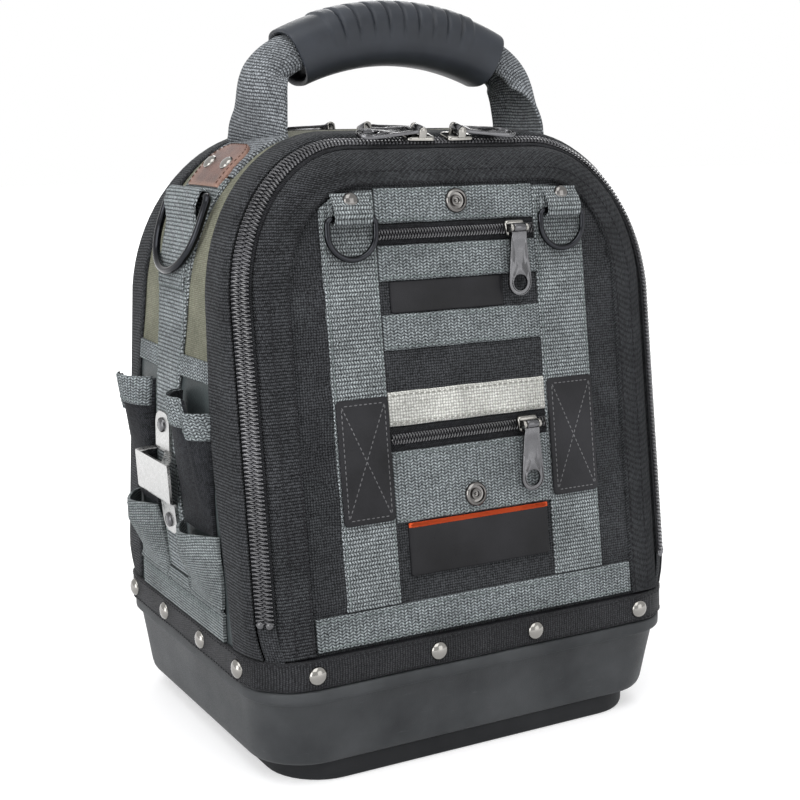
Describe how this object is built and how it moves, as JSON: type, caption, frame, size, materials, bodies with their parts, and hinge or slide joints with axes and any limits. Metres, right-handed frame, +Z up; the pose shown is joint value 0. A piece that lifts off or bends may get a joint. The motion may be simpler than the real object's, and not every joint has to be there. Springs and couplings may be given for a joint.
{
  "type": "utility backpack",
  "caption": "Upright tool bag with a moulded base, zipped front and rear flaps, rubber-gripped handle, side pockets, D-rings and a steel tape clip.",
  "frame": {"origin": "middle of the flat underside of the base", "axes": "+Z up, -Y out of the front flap, +X to the right as the front is looked at"},
  "size_m": [0.2944, 0.2132, 0.3947],
  "materials": {
    "base_plastic": "moulded charcoal plastic, finely grained and lightly scuffed",
    "band_vinyl": "black coated band with nickel rivets",
    "olive_canvas": "olive woven canvas",
    "binding_tape": "ribbed black binding tape",
    "zip_coil": "black coil zip",
    "black_canvas": "heavy black twill canvas",
    "grey_webbing": "grey-green woven webbing",
    "reflective_tape": "pale reflective tape",
    "black_vinyl": "smooth black vinyl",
    "brown_leather": "worn brown leather with nickel rivets",
    "clip_steel": "bright flat steel",
    "slider_metal": "dull nickel plate",
    "pull_metal": "gunmetal coat with bright edges",
    "ring_metal": "satin black coat",
    "olive_lining": "olive woven lining",
    "divider_board": "stiff black board",
    "grip_rubber": "matte moulded rubber"
  },
  "bodies": {
    "bag": {"base_tub": "base_plastic", "trim_band": "band_vinyl", "body_shell": "olive_canvas", "front_edge_tape": "binding_tape", "rear_edge_tape": "binding_tape", "front_zip_body_half": "zip_coil", "rear_zip_body_half": "zip_coil", "centre_divider": "divider_board", "front_tool_pockets": "olive_lining", "rear_tool_pockets": "olive_lining", "side_strap_left": "grey_webbing", "side_strap_right": "grey_webbing", "leather_patch_left": "brown_leather", "leather_patch_right": "brown_leather", "tape_clip": "clip_steel", "upper_pocket_front_left": "black_vinyl", "upper_pocket_rear_left": "black_vinyl", "upper_pocket_front_right": "black_vinyl", "upper_pocket_rear_right": "black_vinyl", "lower_pockets_left": "grey_webbing", "lower_pockets_right": "grey_webbing"},
    "handle": {"handle_grip": "grip_rubber", "handle_strap_left": "grey_webbing", "handle_strap_right": "grey_webbing"},
    "side_ring_left": {"side_ring_left": "ring_metal"},
    "side_ring_right": {"side_ring_right": "ring_metal"},
    "front_flap": {"front_flap_panel": "black_canvas", "front_flap_binding": "binding_tape", "front_web_bottom": "grey_webbing", "front_zip_flap_half": "zip_coil", "web_top": "grey_webbing", "web_upper": "grey_webbing", "web_middle": "grey_webbing", "reflective_strip": "reflective_tape", "web_lower": "grey_webbing", "upper_pocket_zip": "zip_coil", "lower_pocket_zip": "zip_coil", "front_strap_left": "grey_webbing", "front_strap_right": "grey_webbing", "reinforcing_patch_left": "black_vinyl", "reinforcing_patch_right": "black_vinyl", "front_flap_lining": "olive_lining"},
    "rear_flap": {"rear_flap_panel": "black_canvas", "rear_flap_binding": "binding_tape", "rear_web_bottom": "grey_webbing", "rear_zip_flap_half": "zip_coil"},
    "front_ring_left": {"front_ring_left": "ring_metal"},
    "front_ring_right": {"front_ring_right": "ring_metal"},
    "upper_pocket_slider": {"upper_pocket_slider": "slider_metal"},
    "upper_pocket_pull": {"upper_pocket_pull": "pull_metal"},
    "lower_pocket_slider": {"lower_pocket_slider": "slider_metal"},
    "lower_pocket_pull": {"lower_pocket_pull": "pull_metal"},
    "front_slider_left": {"front_slider_left": "slider_metal"},
    "front_slider_right": {"front_slider_right": "slider_metal"},
    "front_pull_left": {"front_pull_left": "pull_metal"},
    "front_pull_right": {"front_pull_right": "pull_metal"},
    "rear_slider_left": {"rear_slider_left": "slider_metal"},
    "rear_slider_right": {"rear_slider_right": "slider_metal"},
    "rear_pull_left": {"rear_pull_left": "pull_metal"},
    "rear_pull_right": {"rear_pull_right": "pull_metal"}
  },
  "joints": [
    {"name": "front_flap_hinge", "type": "hinge", "parent": "bag", "child": "front_flap", "pos_m": [0, -0.1049, 0.0724], "axis": [1, 0, 0], "range_deg": [0, 105]},
    {"name": "rear_flap_hinge", "type": "hinge", "parent": "bag", "child": "rear_flap", "pos_m": [0, 0.1049, 0.0724], "axis": [-1, 0, 0], "range_deg": [0, 105]},
    {"name": "handle_tilt", "type": "hinge", "parent": "bag", "child": "handle", "pos_m": [0, 0, 0.322], "axis": [1, 0, 0], "range_deg": [-35, 35], "deforming": ["handle_strap_left", "handle_strap_right"]},
    {"name": "side_ring_left_swing", "type": "hinge", "parent": "bag", "child": "side_ring_left", "pos_m": [-0.12005, 0, 0.29427], "axis": [0, 1, 0], "range_deg": [0, 110]},
    {"name": "side_ring_right_swing", "type": "hinge", "parent": "bag", "child": "side_ring_right", "pos_m": [0.12005, 0, 0.29427], "axis": [0, -1, 0], "range_deg": [0, 110]},
    {"name": "front_ring_left_swing", "type": "hinge", "parent": "front_flap", "child": "front_ring_left", "pos_m": [-0.0637, -0.07486, 0.28425], "axis": [-1, 0, 0], "range_deg": [0, 150]},
    {"name": "front_ring_right_swing", "type": "hinge", "parent": "front_flap", "child": "front_ring_right", "pos_m": [0.0637, -0.07486, 0.28425], "axis": [-1, 0, 0], "range_deg": [0, 150]},
    {"name": "upper_pocket_zip_run", "type": "slide", "parent": "front_flap", "child": "upper_pocket_slider", "axis": [-1, 0, 0], "range_m": [0, 0.075]},
    {"name": "lower_pocket_zip_run", "type": "slide", "parent": "front_flap", "child": "lower_pocket_slider", "axis": [-1, 0, 0], "range_m": [0, 0.075]},
    {"name": "upper_pocket_pull_swing", "type": "hinge", "parent": "upper_pocket_slider", "child": "upper_pocket_pull", "pos_m": [0.034, -0.0782, 0.27607], "axis": [-1, 0, 0], "range_deg": [0, 150]},
    {"name": "lower_pocket_pull_swing", "type": "hinge", "parent": "lower_pocket_slider", "child": "lower_pocket_pull", "pos_m": [0.034, -0.09234, 0.17287], "axis": [-1, 0, 0], "range_deg": [0, 150]},
    {"name": "front_left_zip_run", "type": "slide", "parent": "front_flap", "child": "front_slider_left", "axis": [-1, 0, 0], "range_m": [0, 0.036]},
    {"name": "front_left_pull_swing", "type": "hinge", "parent": "front_slider_left", "child": "front_pull_left", "pos_m": [-0.012, -0.05278, 0.32738], "axis": [0, 0.9659, 0.2588], "range_deg": [0, 95]},
    {"name": "front_right_zip_run", "type": "slide", "parent": "front_flap", "child": "front_slider_right", "axis": [1, 0, 0], "range_m": [0, 0.036]},
    {"name": "front_right_pull_swing", "type": "hinge", "parent": "front_slider_right", "child": "front_pull_right", "pos_m": [0.012, -0.05278, 0.32738], "axis": [0, -0.9659, -0.2588], "range_deg": [0, 95]},
    {"name": "rear_left_zip_run", "type": "slide", "parent": "rear_flap", "child": "rear_slider_left", "axis": [-1, 0, 0], "range_m": [0, 0.036]},
    {"name": "rear_left_pull_swing", "type": "hinge", "parent": "rear_slider_left", "child": "rear_pull_left", "pos_m": [-0.012, 0.05278, 0.32738], "axis": [0, 0.9659, -0.2588], "range_deg": [0, 95]},
    {"name": "rear_right_zip_run", "type": "slide", "parent": "rear_flap", "child": "rear_slider_right", "axis": [1, 0, 0], "range_m": [0, 0.036]},
    {"name": "rear_right_pull_swing", "type": "hinge", "parent": "rear_slider_right", "child": "rear_pull_right", "pos_m": [0.012, 0.05278, 0.32738], "axis": [0, -0.9659, 0.2588], "range_deg": [0, 95]}
  ]
}
